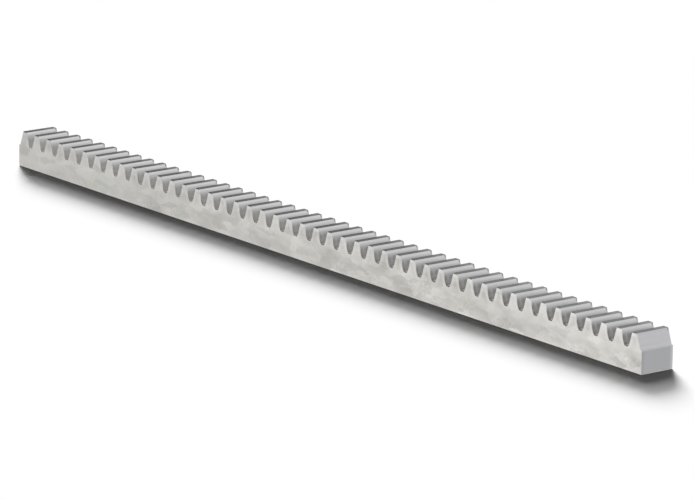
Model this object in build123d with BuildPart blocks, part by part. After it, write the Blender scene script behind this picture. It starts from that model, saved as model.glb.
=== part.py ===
"""Gear rack for a sliding gate: one bar of drawn square steel with straight teeth milled across its top.

The bar lies on its base with the teeth up. X runs along the bar, Y across it, and Z up from the base.
The origin is in the middle of the base. Everything is in millimetres.
"""

import os
from math import pi, radians, tan

from build123d import *

# Tooth form: the standard basic rack.
tooth_module = 4.0
tooth_count = 46
pressure_angle = 20.0
addendum_factor = 1.0
dedendum_factor = 1.25
root_radius_factor = 0.38

# Bar section, with the height taken from the base to the tooth tips.
bar_width = 22.0
bar_height = 22.0
drawn_corner_radius = 0.6

# Edges and ends. Each end is sawn through the middle of a tooth space and dressed back by a little,
# so that two racks can be joined end to end without upsetting the pitch.
tip_edge_break = 0.25
end_dressing = 0.25

# What follows from the sizes above.
pitch = pi * tooth_module
addendum = addendum_factor * tooth_module
dedendum = dedendum_factor * tooth_module
root_height = bar_height - addendum - dedendum
flank_slope = tan(radians(pressure_angle))
bar_length = tooth_count * pitch - 2 * end_dressing

# Half the width of a tooth space at its floor and at the tooth tips.
half_floor = pitch / 4 - dedendum * flank_slope
half_mouth = pitch / 4 + addendum * flank_slope

# The root radius is a standard share of the module, and two of them have to fit side by side on the floor.
floor_share = 0.95
largest_root_radius = floor_share * half_floor / tan(radians(90 - pressure_angle) / 2)
root_radius = min(root_radius_factor * tooth_module, largest_root_radius)

# The cutter's outline goes on above the bar by this much, at 45 degrees.
cutter_overrun = 1.0
half_cutter = half_mouth + tip_edge_break + cutter_overrun

# One tooth space in side view. It has a flat floor between two root radii, straight flanks,
# and a 45 degree flare at its mouth that breaks the edges of the tooth tips.
with BuildSketch() as tooth_space:
    with BuildLine():
        Polyline(
            (-half_floor, root_height),
            (half_floor, root_height),
            (half_mouth - tip_edge_break * flank_slope, bar_height - tip_edge_break),
            (half_mouth + tip_edge_break, bar_height),
            (half_cutter, bar_height + cutter_overrun),
            (-half_cutter, bar_height + cutter_overrun),
            (-half_mouth - tip_edge_break, bar_height),
            (-half_mouth + tip_edge_break * flank_slope, bar_height - tip_edge_break),
            close=True,
        )
    make_face()
    fillet(tooth_space.vertices().group_by(Axis.Y)[0], root_radius)

with BuildPart() as rack_bar:
    # The bar as it comes from the drawing die: a square section with small round corners.
    with BuildSketch(Plane.YZ.offset(-bar_length / 2)) as drawn_section:
        Rectangle(bar_width, bar_height, align=(Align.CENTER, Align.MIN))
        fillet(drawn_section.vertices(), drawn_corner_radius)
    extrude(amount=bar_length)

    # A row of tooth spaces, one more than there are teeth: the ends halve the first and the last.
    with BuildSketch(Plane.XZ):
        with GridLocations(pitch, pitch, tooth_count + 1, 1):
            add(tooth_space.sketch)
    extrude(amount=bar_width, both=True, mode=Mode.SUBTRACT)

rack_bar.part.label = "rack_bar"

os.makedirs("parts", exist_ok=True)
export_step(rack_bar.part, "parts/rack_bar.step")

print("pitch", round(pitch, 3), "length", round(bar_length, 2), "root height", root_height)
print("solids", len(rack_bar.part.solids()), "volume", round(rack_bar.part.volume))
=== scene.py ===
from math import ceil, pi, radians, tan

import bmesh
import bpy
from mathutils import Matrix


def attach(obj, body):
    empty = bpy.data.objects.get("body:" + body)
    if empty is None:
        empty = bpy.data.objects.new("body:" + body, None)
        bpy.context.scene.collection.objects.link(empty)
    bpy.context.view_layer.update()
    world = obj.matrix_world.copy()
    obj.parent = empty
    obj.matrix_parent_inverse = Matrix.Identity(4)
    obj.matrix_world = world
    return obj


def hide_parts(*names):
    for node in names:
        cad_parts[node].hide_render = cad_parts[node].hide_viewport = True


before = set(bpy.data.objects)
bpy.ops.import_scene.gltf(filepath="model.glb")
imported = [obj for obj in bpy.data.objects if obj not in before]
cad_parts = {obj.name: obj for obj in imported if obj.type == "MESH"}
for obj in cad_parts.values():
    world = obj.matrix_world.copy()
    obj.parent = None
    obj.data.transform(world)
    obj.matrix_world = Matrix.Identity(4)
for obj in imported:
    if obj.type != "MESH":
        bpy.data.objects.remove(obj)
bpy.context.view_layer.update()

# The rack bar
# One length of cold drawn square steel stock, with spur teeth milled straight across its top. Both ends are
# sawn off, the edges are broken with a file, and the whole bar is then zinc plated.

mm = 0.001

# The tooth form is the standard basic rack, with flanks that lean by the pressure angle and round roots.
tooth_module = 4 * mm
tooth_count = 46
pressure_angle = radians(20)
addendum = tooth_module
dedendum = 1.25 * tooth_module
root_radius = 0.38 * tooth_module

# The section of the bar, with its height taken to the tips of the teeth.
bar_width = 22 * mm
bar_height = 22 * mm
drawn_corner_radius = 0.6 * mm

# How round the file leaves the cut edges, and how much is dressed off each sawn end.
edge_break = 0.25 * mm
end_dressing = 0.25 * mm

# What follows from these sizes. A land is the flat top of a tooth, and a floor is the flat bottom of a
# space.
pitch = pi * tooth_module
root_height = bar_height - addendum - dedendum
half_land = pitch / 4 - addendum * tan(pressure_angle)
half_floor = pitch / 4 - dedendum * tan(pressure_angle)
half_length = tooth_count * pitch / 2 - end_dressing

# Points that are closer than this count as one.
hair = 0.01 * mm

bar = bmesh.new()

# One pitch of the bar in side view, from the middle of a tooth space to the middle of the next.
outline = [
    (-pitch / 2, 0),
    (pitch / 2, 0),
    (pitch / 2, root_height),
    (pitch / 2 - half_floor, root_height),
    (half_land, bar_height),
    (-half_land, bar_height),
    (half_floor - pitch / 2, root_height),
    (-pitch / 2, root_height),
]
corners = [bar.verts.new((x, -bar_width / 2, z)) for x, z in outline]
bar.faces.new(corners)

# The two root corners get the cutter's radius, which touches floor and flank this far from where they meet.
root_reach = root_radius * tan((pi / 2 - pressure_angle) / 2)
bmesh.ops.bevel(bar, geom=[corners[3], corners[6]], offset=root_reach, offset_type="OFFSET",
                segments=6, profile=0.5, material=-1, affect="VERTICES")

# The side view is drawn out to the bar's width, and the walls that the next pitch would hide come off.
extruded = bmesh.ops.extrude_face_region(bar, geom=bar.faces[:])
far_verts = [item for item in extruded["geom"] if isinstance(item, bmesh.types.BMVert)]
bmesh.ops.translate(bar, vec=(0, bar_width, 0), verts=far_verts)
inner_walls = [face for face in bar.faces if abs(face.calc_center_median().x) > pitch / 2 - hair]
bmesh.ops.delete(bar, geom=inner_walls, context="FACES_ONLY")

# The pitch is repeated along the bar and joined up.
bmesh.ops.translate(bar, vec=((1 - tooth_count) * pitch / 2, 0, 0), verts=bar.verts)
bmesh.ops.spin(bar, geom=bar.verts[:] + bar.edges[:] + bar.faces[:], cent=(0, 0, 0), axis=(0, 1, 0),
               dvec=(pitch, 0, 0), angle=0, steps=tooth_count - 1, use_duplicate=True)
bmesh.ops.remove_doubles(bar, verts=bar.verts, dist=hair)

# Both ends are sawn off square and closed. The cut falls within a hair of where a root's radius starts, and
# the two count as one.
for direction in (-1, 1):
    bmesh.ops.bisect_plane(bar, geom=bar.verts[:] + bar.edges[:] + bar.faces[:], dist=hair,
                           plane_co=(direction * half_length, 0, 0), plane_no=(direction, 0, 0),
                           clear_outer=True)
bmesh.ops.holes_fill(bar, edges=[edge for edge in bar.edges if edge.is_boundary], sides=0)
bmesh.ops.recalc_face_normals(bar, faces=bar.faces)

# The long edges of the base and of the lands still have the round corners of the drawn bar.
drawn_edges = []
for edge in bar.edges:
    start, end = [vert.co for vert in edge.verts]
    runs_along = abs(start.y - end.y) < hair and abs(start.z - end.z) < hair
    on_side = abs(start.y) > bar_width / 2 - hair
    on_stock = start.z < hair or start.z > bar_height - hair
    if runs_along and on_side and on_stock:
        drawn_edges.append(edge)
bmesh.ops.bevel(bar, geom=drawn_edges, offset=drawn_corner_radius, offset_type="OFFSET",
                segments=3, profile=0.5, material=-1, affect="EDGES")

# The edges that the cutter and the saw have left, at the tips and round the sides and the ends, are broken.
# They all turn by more than 60 degrees, which the facets of the rounds don't.
sharp_turn = radians(60)
cut_edges = [edge for edge in bar.edges if edge.calc_face_angle() > sharp_turn]
bmesh.ops.bevel(bar, geom=cut_edges, offset=edge_break, offset_type="OFFSET",
                segments=3, profile=0.5, material=-1, affect="EDGES")

# Each face is given to the surface it belongs to. The broken edges at the tips go with the lands, those
# along the -Y side go with that side, and those along the +Y side with the cut. The numbers follow the
# order in which the finishes are added to the mesh.
SIDE, CUT, LAND, SAWN = range(4)
for face in bar.faces:
    face.smooth = True
    face.normal_update()
    middle = face.calc_center_median()
    at_end = abs(face.normal.x) > 0.999
    looks_up = face.normal.z > 0.6
    at_tip = middle.z > bar_height - edge_break
    off_corners = abs(middle.y) < bar_width / 2 - drawn_corner_radius
    above_floor = middle.z > root_height - edge_break
    between_sides = edge_break - bar_width / 2 < middle.y < bar_width / 2 - hair
    if at_end:
        face.material_index = SAWN
    elif at_tip and (off_corners or looks_up):
        face.material_index = LAND
    elif above_floor and between_sides:
        face.material_index = CUT
    else:
        face.material_index = SIDE

# Every corner has its round by now, so all faces are shaded smooth. The normals follow the larger faces,
# which keeps those flat.
rack_mesh = bpy.data.meshes.new("rack_bar_finished")
bar.to_mesh(rack_mesh)
bar.free()
rack = bpy.data.objects.new("rack_bar_finished", rack_mesh)
bpy.context.scene.collection.objects.link(rack)
rack.modifiers.new("weighted_normals", "WEIGHTED_NORMAL")


def linear(hex_colour):
    """An sRGB hex colour as the linear RGBA that shader sockets take."""
    channels = [int(hex_colour[i:i + 2], 16) / 255 for i in (1, 3, 5)]
    return [c / 12.92 if c <= 0.04045 else ((c + 0.055) / 1.055) ** 2.4 for c in channels] + [1]


def add_node(tree, kind, inputs, **settings):
    """Adds a node with its settings and fills its inputs, which go by their name or number.

    An input takes a value, a socket, or a node, which stands for the first output it has in use.
    """
    node = tree.nodes.new(kind)
    for name, value in settings.items():
        setattr(node, name, value)
    for key, value in inputs.items():
        named = [socket for socket in node.inputs if socket.enabled and socket.name == key]
        socket = named[0] if named else node.inputs[key]
        if isinstance(value, bpy.types.Node):
            value = next(output for output in value.outputs if output.enabled)
        if isinstance(value, bpy.types.NodeSocket):
            tree.links.new(value, socket)
        else:
            socket.default_value = value
    return node


def new_material(name):
    """An empty node material and its tree."""
    material = bpy.data.materials.new(name)
    material.use_nodes = True
    material.node_tree.nodes.clear()
    return material, material.node_tree


def place_in_mm(tree):
    """The place on the object in millimetres, whole and as its X, Y and Z."""
    place = add_node(tree, "ShaderNodeTexCoord", {})
    place_mm = add_node(tree, "ShaderNodeVectorMath", {0: place.outputs["Object"], 1: [1 / mm] * 3},
                        operation="MULTIPLY")
    parts = add_node(tree, "ShaderNodeSeparateXYZ", {"Vector": place_mm})
    return place_mm, *parts.outputs


# Zinc plate on drawn steel, on the sides and the base. The plating is mottled in long slanting patches,
# where the drawn skin under it took the bath unevenly, and the outline of the teeth is painted paler as a
# highlight.
zinc_plate, tree = new_material("zinc_plate_on_drawn_steel")
place_mm, x_mm, _, z_mm = place_in_mm(tree)

# How far along the bar a point lies: 0 at the -X end and 1 at the +X end, to the next whole millimetre.
bar_end_mm = ceil(half_length / mm)
length_share = add_node(tree, "ShaderNodeMapRange", {"Value": x_mm, "From Min": -bar_end_mm,
                                                     "From Max": bar_end_mm})

# The patches are about 16 mm long and 7 mm high and rise towards +X. The noise is cut at the depth where
# they fall much as the real ones do.
patch_size = (16, 8, 7)
patch_depth = 1098
slanted = add_node(tree, "ShaderNodeMapping", {"Vector": place_mm, "Rotation": (0, radians(20), 0),
                                               "Scale": [1 / size for size in patch_size],
                                               "Location": (0, patch_depth, 0)})
patches = add_node(tree, "ShaderNodeTexNoise", {"Vector": slanted, "Scale": 1, "Detail": 3, "Roughness": 0.5,
                                                "Distortion": 0.4})

# Some of them have sharp edges. Each of these blocks has its own tone, its own grain and its own gloss.
ragged = add_node(tree, "ShaderNodeVectorMath", {0: patches.outputs["Color"], 1: (0.9, 0.9, 0.9),
                                                 2: slanted}, operation="MULTIPLY_ADD")
blocks = add_node(tree, "ShaderNodeTexVoronoi", {"Vector": ragged, "Scale": 1.4})
block_parts = add_node(tree, "ShaderNodeSeparateColor", {"Color": blocks.outputs["Color"]})
block_tone, block_grain, block_gloss = block_parts.outputs
mottle = add_node(tree, "ShaderNodeMix", {"Factor": 0.26, "A": patches, "B": block_tone}, data_type="FLOAT")
mottle = add_node(tree, "ShaderNodeMapRange", {"Value": mottle, "From Min": 0.28, "From Max": 0.72,
                                               "To Min": 0.1, "To Max": 0.9})

# Under the patches the whole plating is a little paler or darker over stretches of about 40 mm, which are
# cut from their noise in the same way.
stretch_size = (40, 30, 30)
stretch_depth = 450
stretches = add_node(tree, "ShaderNodeMapping", {"Vector": place_mm, "Location": (0, stretch_depth, 0),
                                                 "Scale": [1 / size for size in stretch_size]})
stretches = add_node(tree, "ShaderNodeTexNoise", {"Vector": stretches, "Scale": 1, "Detail": 1})
stretches = add_node(tree, "ShaderNodeMapRange", {"Value": stretches, "To Min": -0.5, "To Max": 0.45})
mottle = add_node(tree, "ShaderNodeMath", {0: mottle, 1: stretches}, operation="ADD")

# In some of the blocks the plating's own grain shows as a fine speckle. It is far finer on a real bar, and
# is drawn at 1.5 mm here so that it shows.
speckle_mm = 1.5
speckle = add_node(tree, "ShaderNodeTexNoise", {"Vector": place_mm, "Scale": 1 / speckle_mm, "Detail": 2})
speckle = add_node(tree, "ShaderNodeMapRange", {"Value": speckle, "From Min": 0.3, "From Max": 0.7,
                                                "To Min": -0.22, "To Max": 0.22})
grainy = add_node(tree, "ShaderNodeMapRange", {"Value": block_grain, "From Min": 0.55, "From Max": 0.9})
mottle = add_node(tree, "ShaderNodeMath", {0: speckle, 1: grainy, 2: mottle}, operation="MULTIPLY_ADD")

# Just under the roots the side is paler, and more so towards +X. On the teeth this is weaker.
paler_under_roots = add_node(tree, "ShaderNodeMapRange", {"Value": z_mm, "From Min": 7, "From Max": 10.5},
                  interpolation_type="SMOOTHSTEP")
under_teeth = add_node(tree, "ShaderNodeMapRange", {"Value": z_mm, "From Min": 15, "From Max": 12.5,
                                                    "To Min": 0.4, "To Max": 1})
paler_under_roots = add_node(tree, "ShaderNodeMath", {0: paler_under_roots, 1: under_teeth}, operation="MULTIPLY")
paler_under_roots_share = add_node(tree, "ShaderNodeMapRange", {"Value": length_share, "To Min": 0.02, "To Max": 0.2})
mottle = add_node(tree, "ShaderNodeMath", {0: paler_under_roots, 1: paler_under_roots_share, 2: mottle}, operation="MULTIPLY_ADD",
                  use_clamp=True)

# The mottling runs between a dark and a pale zinc, both of them paler towards +X, with a trace of other
# tints.
dark_zinc = add_node(tree, "ShaderNodeMix", {"Factor": length_share, "A": linear("#B2B1AD"),
                                             "B": linear("#BCBAB5")}, data_type="RGBA")
pale_zinc = add_node(tree, "ShaderNodeMix", {"Factor": length_share, "A": linear("#CCCBC7"),
                                             "B": linear("#E8E6E1")}, data_type="RGBA")
mottled = add_node(tree, "ShaderNodeMix", {"Factor": mottle, "A": dark_zinc, "B": pale_zinc},
                   data_type="RGBA")
tint_mm = 45
tint = add_node(tree, "ShaderNodeTexNoise", {"Vector": place_mm, "Scale": 1 / tint_mm, "Detail": 2})
mottled = add_node(tree, "ShaderNodeMix", {"Factor": 0.03, "A": mottled, "B": tint.outputs["Color"]},
                   data_type="RGBA", blend_type="OVERLAY")

# How far a point of the side lies from the nearest milled edge. This follows the flanks and goes round the
# roots, but at half their radius, because the corners of the painted edge shade further down are sharper
# than the roots. Above the centre of that radius only the way off the flank counts. 100 mm is more than any
# of these lengths, so it limits nothing.
half_pitch_mm = pitch / 2 / mm
edge_radius = root_radius / 2
edge_centre_mm = ((half_floor - root_reach / 2) / mm, 0, (root_height + edge_radius) / mm)
no_limit = 100
off_space = add_node(tree, "ShaderNodeMath", {0: x_mm, 1: half_pitch_mm, 2: -half_pitch_mm},
                     operation="WRAP")
aside = add_node(tree, "ShaderNodeMath", {0: off_space}, operation="ABSOLUTE")
aside = add_node(tree, "ShaderNodeMath", {0: aside, 1: edge_centre_mm[0]}, operation="MAXIMUM")
edge_way = add_node(tree, "ShaderNodeCombineXYZ", {"X": aside, "Z": z_mm})
edge_way = add_node(tree, "ShaderNodeVectorMath", {0: edge_way, 1: edge_centre_mm}, operation="SUBTRACT")
edge_way = add_node(tree, "ShaderNodeVectorRotate", {"Vector": edge_way, "Angle": -pressure_angle},
                    rotation_type="Y_AXIS")
edge_way = add_node(tree, "ShaderNodeVectorMath", {0: edge_way, 1: (no_limit, no_limit, 0)},
                    operation="MINIMUM")
from_edge = add_node(tree, "ShaderNodeVectorMath", {0: edge_way}, operation="LENGTH")
from_edge = add_node(tree, "ShaderNodeMath", {0: from_edge, 1: edge_radius / mm}, operation="SUBTRACT")

# A pale outline is painted beside that edge as a highlight. It is clearest along the flanks towards +X.
edge_highlight_band = add_node(tree, "ShaderNodeMapRange", {"Value": from_edge, "From Min": 3.2, "From Max": 1.5},
                        interpolation_type="SMOOTHSTEP")
edge_highlight_share = add_node(tree, "ShaderNodeMapRange", {"Value": length_share, "To Min": 0.08, "To Max": 0.56})
above_root = add_node(tree, "ShaderNodeMapRange", {"Value": z_mm, "From Min": 11.5, "From Max": 15,
                                                   "To Min": 0.35, "To Max": 1})
below_tip = add_node(tree, "ShaderNodeMapRange", {"Value": z_mm, "From Min": 21, "From Max": 18.5})
edge_highlight_share = add_node(tree, "ShaderNodeMath", {0: edge_highlight_share, 1: above_root}, operation="MULTIPLY")
edge_highlight_share = add_node(tree, "ShaderNodeMath", {0: edge_highlight_share, 1: below_tip}, operation="MULTIPLY")
painted_edge_highlight = add_node(tree, "ShaderNodeMath", {0: edge_highlight_band, 1: edge_highlight_share}, operation="MULTIPLY")
side_colour = add_node(tree, "ShaderNodeMix", {"Factor": painted_edge_highlight, "A": mottled, "B": linear("#E6E5E2")},
                       data_type="RGBA")

# Below the tips a pale band is painted as a highlight, brightest towards +X and on the side of a tooth that
# faces -X.
tip_highlight_band = add_node(tree, "ShaderNodeMapRange", {"Value": z_mm, "From Min": 19, "From Max": 20.3},
                    interpolation_type="SMOOTHSTEP")
off_tooth = add_node(tree, "ShaderNodeMath", {0: x_mm, 1: half_pitch_mm}, operation="ADD")
off_tooth = add_node(tree, "ShaderNodeMath", {0: off_tooth, 1: half_pitch_mm, 2: -half_pitch_mm},
                     operation="WRAP")
tip_highlight_share = add_node(tree, "ShaderNodeMapRange", {"Value": off_tooth, "From Min": -2, "From Max": 2.4,
                                                  "To Min": 1, "To Max": 0.4})
tip_highlight_share = add_node(tree, "ShaderNodeMath", {0: tip_highlight_share, 1: tip_highlight_band}, operation="MULTIPLY")
tip_highlight_colour = add_node(tree, "ShaderNodeMix", {"Factor": length_share, "A": linear("#CECECC"),
                                              "B": linear("#F0F0F0")}, data_type="RGBA")
side_colour = add_node(tree, "ShaderNodeMix", {"Factor": tip_highlight_share, "A": side_colour, "B": tip_highlight_colour},
                       data_type="RGBA")

# The last bit below a land is painted nearly as dark as the land, carrying the land's painted dark
# reflection.
under_land = add_node(tree, "ShaderNodeMapRange", {"Value": z_mm, "From Min": 21.35, "From Max": 21.6})
side_colour = add_node(tree, "ShaderNodeMix", {"Factor": under_land, "A": side_colour,
                                               "B": linear("#8C8C8C")}, data_type="RGBA")

# The very edge is painted with shade, as dark as the cut beside it, on the -X side of a space, and higher up
# on both. Round the bottom of a space and on the +X side of it the edge is left pale.
edge_shade_width = add_node(tree, "ShaderNodeMapRange", {"Value": off_space, "From Min": -1.2, "From Max": -0.4,
                                                   "To Min": 0.12, "To Max": -0.8})
edge_shade_above = add_node(tree, "ShaderNodeMapRange", {"Value": z_mm, "From Min": 13.2, "From Max": 14.2,
                                                   "To Min": -1, "To Max": 0.33})
edge_shade_above = add_node(tree, "ShaderNodeMath", {0: edge_shade_above, 1: length_share}, operation="MINIMUM")
edge_shade_width = add_node(tree, "ShaderNodeMath", {0: edge_shade_width, 1: edge_shade_above}, operation="MAXIMUM")
painted_edge_shade = add_node(tree, "ShaderNodeMath", {0: edge_shade_width, 1: from_edge}, operation="SUBTRACT")
painted_edge_shade = add_node(tree, "ShaderNodeMapRange", {"Value": painted_edge_shade, "From Min": -0.08, "From Max": 0.08})

# It fades out towards the tips, reaches higher towards +X, and is missing past the middle of each end tooth.
end_tooth_mm = (tooth_count - 1) * half_pitch_mm
low_down = add_node(tree, "ShaderNodeMath", {0: length_share, 1: -2.5, 2: z_mm}, operation="MULTIPLY_ADD")
low_down = add_node(tree, "ShaderNodeMapRange", {"Value": low_down, "From Min": 17.2, "From Max": 14.6})
whole_space = add_node(tree, "ShaderNodeMath", {0: x_mm}, operation="ABSOLUTE")
whole_space = add_node(tree, "ShaderNodeMath", {0: whole_space, 1: end_tooth_mm}, operation="LESS_THAN")
low_down = add_node(tree, "ShaderNodeMath", {0: low_down, 1: whole_space}, operation="MULTIPLY")
painted_edge_shade = add_node(tree, "ShaderNodeMath", {0: painted_edge_shade, 1: low_down}, operation="MULTIPLY")
edge_shade_colour = add_node(tree, "ShaderNodeMix", {"Factor": length_share, "A": linear("#8E8C89"),
                                               "B": linear("#807E7C")}, data_type="RGBA")
side_colour = add_node(tree, "ShaderNodeMix", {"Factor": painted_edge_shade, "A": side_colour, "B": edge_shade_colour},
                       data_type="RGBA")

# The drawing die leaves lines along the bar, and the plating has a grain. Both are too fine to show, so the
# lines are drawn 60 mm long and 0.5 mm apart and the grain at 0.9 mm. No such line is deeper than 0.02 mm.
drawing_line_size = (60, 0.5, 0.5)
grain_mm = 0.9
relief_depth = 0.02 * mm
side_roughness = add_node(tree, "ShaderNodeMapRange", {"Value": block_gloss, "To Min": 0.36, "To Max": 0.5})
drawing_lines = add_node(tree, "ShaderNodeMapping", {"Vector": place_mm,
                                                     "Scale": [1 / size for size in drawing_line_size]})
drawing_lines = add_node(tree, "ShaderNodeTexNoise", {"Vector": drawing_lines, "Scale": 1, "Detail": 3})
grain = add_node(tree, "ShaderNodeTexNoise", {"Vector": place_mm, "Scale": 1 / grain_mm, "Detail": 2})
relief = add_node(tree, "ShaderNodeMath", {0: drawing_lines, 1: grain}, operation="ADD")
relief = add_node(tree, "ShaderNodeBump", {"Strength": 0.25, "Distance": relief_depth, "Height": relief})
shader = add_node(tree, "ShaderNodeBsdfPrincipled", {"Base Color": side_colour, "Metallic": 1.0,
                                                     "Roughness": side_roughness, "Normal": relief})
add_node(tree, "ShaderNodeOutputMaterial", {"Surface": shader})
rack_mesh.materials.append(zinc_plate)

# Zinc plate on milled steel, on the flanks and in the roots. Shade and light are painted on from root to
# tip: the roots are painted dark as shade, darker towards +X, and the flanks are painted bright just above
# the roots and again below the tips, with painted shade between.
milled_zinc, tree = new_material("zinc_plate_on_milled_steel")
place_mm, x_mm, y_mm, z_mm = place_in_mm(tree)
length_share = add_node(tree, "ShaderNodeMapRange", {"Value": x_mm, "From Min": -bar_end_mm,
                                                     "From Max": 180})
height_share = add_node(tree, "ShaderNodeMapRange", {"Value": z_mm, "From Min": root_height / mm,
                                                     "From Max": bar_height / mm})
# Each table runs from root to tip and paints the flank's shade and light. The first is used towards -X.
paler_flank_shading = ((0, "#9C9A98"), (0.06, "#AAA9A7"), (0.17, "#CCCBC8"), (0.3, "#C9C8C5"), (0.4, "#BEBDBB"),
               (0.5, "#B5B4B3"), (0.61, "#B8B8B8"), (0.78, "#C1C1C1"), (0.88, "#D8D8D8"), (1, "#C8C8C8"))
darker_flank_shading = ((0, "#767471"), (0.08, "#848280"), (0.17, "#B5B4B1"), (0.3, "#BDBCB9"), (0.4, "#ABAAA7"),
                (0.5, "#9B9A98"), (0.61, "#A1A1A0"), (0.78, "#C2C2C3"), (0.88, "#D0D0D1"), (1, "#C8C8C9"))
ramps = []
for shading_from_root_to_tip in (paler_flank_shading, darker_flank_shading):
    ramp = add_node(tree, "ShaderNodeValToRGB", {"Fac": height_share})
    stops = ramp.color_ramp.elements
    stops[0].color = linear(shading_from_root_to_tip[0][1])
    stops[1].color = linear(shading_from_root_to_tip[-1][1])
    for height, colour in shading_from_root_to_tip[1:-1]:
        stops.new(height).color = linear(colour)
    ramps.append(ramp)
flank_colour = add_node(tree, "ShaderNodeMix", {"Factor": length_share, "A": ramps[0], "B": ramps[1]},
                        data_type="RGBA")

# A pale streak of painted light stands on the flanks about 2.5 mm in from the -Y side and fades out 2 mm
# below the tips. It is clearest towards +X.
painted_light_streak = add_node(tree, "ShaderNodeMapRange", {"Value": y_mm, "From Min": -10.1, "From Max": -8.8},
                  interpolation_type="SMOOTHSTEP")
behind_streak = add_node(tree, "ShaderNodeMapRange", {"Value": y_mm, "From Min": -6.8, "From Max": -8.3},
                         interpolation_type="SMOOTHSTEP")
painted_light_streak = add_node(tree, "ShaderNodeMath", {0: painted_light_streak, 1: behind_streak}, operation="MULTIPLY")
streak_height = add_node(tree, "ShaderNodeMapRange", {"Value": z_mm, "From Min": 19.8, "From Max": 18})
painted_light_streak = add_node(tree, "ShaderNodeMath", {0: painted_light_streak, 1: streak_height}, operation="MULTIPLY")
streak_share = add_node(tree, "ShaderNodeMapRange", {"Value": length_share, "To Min": 0.04, "To Max": 0.4})
painted_light_streak = add_node(tree, "ShaderNodeMath", {0: painted_light_streak, 1: streak_share}, operation="MULTIPLY")
flank_colour = add_node(tree, "ShaderNodeMix", {"Factor": painted_light_streak, "A": flank_colour, "B": linear("#DADADA")},
                        data_type="RGBA")

# The outer flanks of the two end teeth face no other tooth, so no shade is painted on them: they take one
# even colour.
past_end = add_node(tree, "ShaderNodeMath", {0: x_mm}, operation="ABSOLUTE")
past_end = add_node(tree, "ShaderNodeMath", {0: past_end, 1: end_tooth_mm}, operation="GREATER_THAN")
flank_colour = add_node(tree, "ShaderNodeMix", {"Factor": past_end, "A": flank_colour,
                                                "B": linear("#BFBFC1")}, data_type="RGBA")

# The cutter comes out on the +Y side. At the top of the flanks there a dark band is painted as shade.
way_out = add_node(tree, "ShaderNodeMapRange", {"Value": y_mm, "From Min": 9.5, "From Max": 10.5},
                   interpolation_type="SMOOTHSTEP")
near_tip = add_node(tree, "ShaderNodeMapRange", {"Value": z_mm, "From Min": 19.6, "From Max": 21.2},
                    interpolation_type="SMOOTHSTEP")
far_edge_shade = add_node(tree, "ShaderNodeMath", {0: way_out, 1: near_tip}, operation="MULTIPLY")
flank_colour = add_node(tree, "ShaderNodeMix", {"Factor": far_edge_shade, "A": flank_colour, "B": linear("#848484")},
                        data_type="RGBA")

# The cutter also leaves fine lines across the bar. They are too fine to show, so they are drawn 0.7 mm apart
# and 50 mm long, which is right across.
cutter_line_size = (0.7, 50, 0.7)
cutter_lines = add_node(tree, "ShaderNodeMapping", {"Vector": place_mm,
                                                    "Scale": [1 / size for size in cutter_line_size]})
cutter_lines = add_node(tree, "ShaderNodeTexNoise", {"Vector": cutter_lines, "Scale": 1, "Detail": 2})
flank_colour = add_node(tree, "ShaderNodeMix", {"Factor": 0.12, "A": flank_colour, "B": cutter_lines},
                        data_type="RGBA", blend_type="OVERLAY")
relief = add_node(tree, "ShaderNodeBump", {"Strength": 0.3, "Distance": relief_depth,
                                           "Height": cutter_lines})
shader = add_node(tree, "ShaderNodeBsdfPrincipled", {"Base Color": flank_colour, "Metallic": 1.0,
                                                     "Roughness": 0.38, "Normal": relief})
add_node(tree, "ShaderNodeOutputMaterial", {"Surface": shader})
rack_mesh.materials.append(milled_zinc)

# The lands on top of the teeth are painted dark, as the dark reflection that a level top face gives. They
# are dull, and paler towards +X.
dark_land, tree = new_material("painted_dark_land")
place_mm, x_mm, y_mm, _ = place_in_mm(tree)
length_share = add_node(tree, "ShaderNodeMapRange", {"Value": x_mm, "From Min": 20, "From Max": 180})
land_colour = add_node(tree, "ShaderNodeMix", {"Factor": length_share, "A": linear("#2A2A2A"),
                                               "B": linear("#686868")}, data_type="RGBA")

# The painted dark is paler on the +Y half of the lands, and along the edge of each that faces +X.
paler_half = add_node(tree, "ShaderNodeMapRange", {"Value": y_mm, "From Min": 1, "From Max": 6.5},
                     interpolation_type="SMOOTHSTEP")
paler_land_colour = add_node(tree, "ShaderNodeMix", {"Factor": length_share, "A": linear("#606060"),
                                             "B": linear("#848484")}, data_type="RGBA")
land_colour = add_node(tree, "ShaderNodeMix", {"Factor": paler_half, "A": land_colour, "B": paler_land_colour},
                       data_type="RGBA")
off_tooth = add_node(tree, "ShaderNodeMath", {0: x_mm, 1: half_pitch_mm}, operation="ADD")
off_tooth = add_node(tree, "ShaderNodeMath", {0: off_tooth, 1: half_pitch_mm, 2: -half_pitch_mm},
                     operation="WRAP")
paler_land_side = add_node(tree, "ShaderNodeMapRange", {"Value": off_tooth, "From Min": -1.2, "From Max": 1.8,
                                                    "To Min": 0, "To Max": 0.28})
land_colour = add_node(tree, "ShaderNodeMix", {"Factor": paler_land_side, "A": land_colour,
                                               "B": linear("#9A9A9A")}, data_type="RGBA")

# The land colour is a little cloudy, in patches of about 3 mm.
cloud_mm = 3
clouds = add_node(tree, "ShaderNodeTexNoise", {"Vector": place_mm, "Scale": 1 / cloud_mm, "Detail": 3})
land_colour = add_node(tree, "ShaderNodeMix", {"Factor": 0.25, "A": land_colour, "B": clouds},
                       data_type="RGBA", blend_type="OVERLAY")
shader = add_node(tree, "ShaderNodeBsdfPrincipled", {"Base Color": land_colour, "Metallic": 1.0,
                                                     "Roughness": 0.5})
add_node(tree, "ShaderNodeOutputMaterial", {"Surface": shader})
rack_mesh.materials.append(dark_land)

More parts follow.
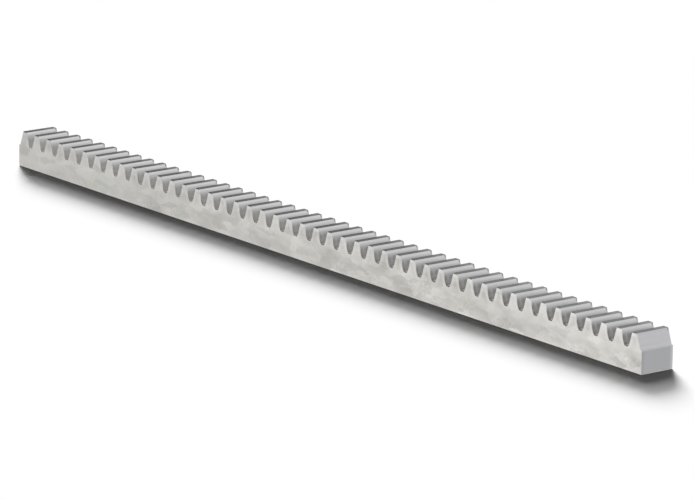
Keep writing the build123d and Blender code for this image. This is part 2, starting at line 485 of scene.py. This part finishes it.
# Zinc plate on sawn steel at the ends: a flat, cooler grey, darker than the sides, partly as the duller sawn
# face and partly as painted shade on an end turned from the light. The saw's lines stand close together,
# slightly off upright. They are too fine to show, so they are drawn 0.9 mm apart, and 30 mm long, right
# across.
sawn_zinc, tree = new_material("zinc_plate_on_sawn_steel")
place_mm, _, y_mm, _ = place_in_mm(tree)
saw_line_size = (1, 0.9, 30)
saw_lines = add_node(tree, "ShaderNodeMapping", {"Vector": place_mm, "Rotation": (radians(12), 0, 0),
                                                 "Scale": [1 / size for size in saw_line_size]})
saw_lines = add_node(tree, "ShaderNodeTexNoise", {"Vector": saw_lines, "Scale": 1, "Detail": 2})
sawn_colour = add_node(tree, "ShaderNodeMix", {"Factor": 0.04, "A": linear("#AEAFB1"), "B": saw_lines},
                       data_type="RGBA", blend_type="OVERLAY")

# A strip near the -Y edge is a little darker, and one near the +Y edge is paler.
near_side_strip = add_node(tree, "ShaderNodeMapRange", {"Value": y_mm, "From Min": -8.6, "From Max": -9.6},
                  interpolation_type="SMOOTHSTEP")
sawn_colour = add_node(tree, "ShaderNodeMix", {"Factor": near_side_strip, "A": sawn_colour, "B": linear("#A6A7A6")},
                       data_type="RGBA")
far_side_strip = add_node(tree, "ShaderNodeMapRange", {"Value": y_mm, "From Min": 8.9, "From Max": 9.5},
                   interpolation_type="SMOOTHSTEP")
sawn_colour = add_node(tree, "ShaderNodeMix", {"Factor": far_side_strip, "A": sawn_colour, "B": linear("#BEBFC0")},
                       data_type="RGBA")
relief = add_node(tree, "ShaderNodeBump", {"Strength": 0.15, "Distance": relief_depth, "Height": saw_lines})
shader = add_node(tree, "ShaderNodeBsdfPrincipled", {"Base Color": sawn_colour, "Metallic": 1.0,
                                                     "Roughness": 0.48, "Normal": relief})
add_node(tree, "ShaderNodeOutputMaterial", {"Surface": shader})
rack_mesh.materials.append(sawn_zinc)

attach(rack, "root")
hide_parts("rack_bar")

# The floor
# A plain sheet of matt white paper that the bar lies on, fixed to nothing. It takes the bar's shadow.
# It reaches well past the picture on every side, so it has no edge to see.
floor_size = 10000 * mm
sheet = bmesh.new()
bmesh.ops.create_grid(sheet, x_segments=1, y_segments=1, size=floor_size / 2)
floor_mesh = bpy.data.meshes.new("floor")
sheet.to_mesh(floor_mesh)
sheet.free()
floor = bpy.data.objects.new("floor", floor_mesh)
bpy.context.scene.collection.objects.link(floor)

# Matt white paper has no gloss and takes a soft shadow. In the metal it shows as plain white, like the room.
white_sheet, tree = new_material("white_sheet")
matt = add_node(tree, "ShaderNodeBsdfDiffuse", {"Color": (0.95, 0.95, 0.95, 1)})
white = add_node(tree, "ShaderNodeEmission", {"Color": (1, 1, 1, 1), "Strength": 1})
rays = add_node(tree, "ShaderNodeLightPath", {})
reflected = add_node(tree, "ShaderNodeMath", {0: rays.outputs["Is Glossy Ray"],
                                              1: rays.outputs["Is Transmission Ray"]}, operation="MAXIMUM")
off_floor = add_node(tree, "ShaderNodeMath", {0: rays.outputs["Diffuse Depth"], 1: 0.5},
                     operation="LESS_THAN")
reflected = add_node(tree, "ShaderNodeMath", {0: reflected, 1: off_floor}, operation="MULTIPLY")
surface = add_node(tree, "ShaderNodeMixShader", {0: reflected, 1: matt, 2: white})
add_node(tree, "ShaderNodeOutputMaterial", {"Surface": surface})
floor_mesh.materials.append(white_sheet)

# The light
# The metal reflects an even white room. Two soft suns behind the bar and a little to the left, a low and a
# higher one, give the shadow its dark core and its soft edge, and don't show in the metal. The floor gets
# only a little of the room's light, straight or off the metal, so the shadow stays dark beside the bar.
world = bpy.data.worlds.new("white_room")
bpy.context.scene.world = world
world.use_nodes = True
tree = world.node_tree
tree.nodes.clear()
rays = add_node(tree, "ShaderNodeLightPath", {})
seen = add_node(tree, "ShaderNodeMath", {0: rays.outputs["Is Camera Ray"], 1: rays.outputs["Is Glossy Ray"]},
                operation="MAXIMUM")
seen = add_node(tree, "ShaderNodeMath", {0: seen, 1: rays.outputs["Is Transmission Ray"]},
                operation="MAXIMUM")
off_floor = add_node(tree, "ShaderNodeMath", {0: rays.outputs["Diffuse Depth"], 1: 0.5},
                     operation="LESS_THAN")
seen = add_node(tree, "ShaderNodeMath", {0: seen, 1: off_floor}, operation="MULTIPLY")
room = add_node(tree, "ShaderNodeBackground", {"Color": (1, 1, 1, 1), "Strength": 0.075})
backdrop = add_node(tree, "ShaderNodeBackground", {"Color": (1, 1, 1, 1), "Strength": 1})
surface = add_node(tree, "ShaderNodeMixShader", {0: seen, 1: room, 2: backdrop})
add_node(tree, "ShaderNodeOutputWorld", {"Surface": surface})

# Both suns stand in the same direction. Their bearing, height and width in the sky are in degrees.
sun_bearing = -121
for name, strength, height, width in (("low_sun", 5.534, 21.9, 16), ("high_sun", 1.717, 36.3, 26)):
    sun = bpy.data.lights.new(name, "SUN")
    sun.energy = strength
    sun.angle = radians(width)
    lamp = bpy.data.objects.new(name, sun)
    lamp.rotation_euler = (radians(90 - height), 0, radians(sun_bearing))
    lamp.visible_glossy = False
    bpy.context.scene.collection.objects.link(lamp)

# The camera
# It stands well back to the right with a long lens, a little above the bar, so that the teeth, the -Y side
# and the +X end all show. It leans by less than a degree.
lens = bpy.data.cameras.new("camera")
lens.lens = 296.3
lens.sensor_width = 36
camera = bpy.data.objects.new("camera", lens)
camera.location = (2.4815, -1.9039, 0.7962)
camera.rotation_euler = (radians(75.824), radians(-0.765), radians(52.461))
bpy.context.scene.collection.objects.link(camera)
bpy.context.scene.camera = camera
bpy.context.scene.view_settings.view_transform = "Standard"
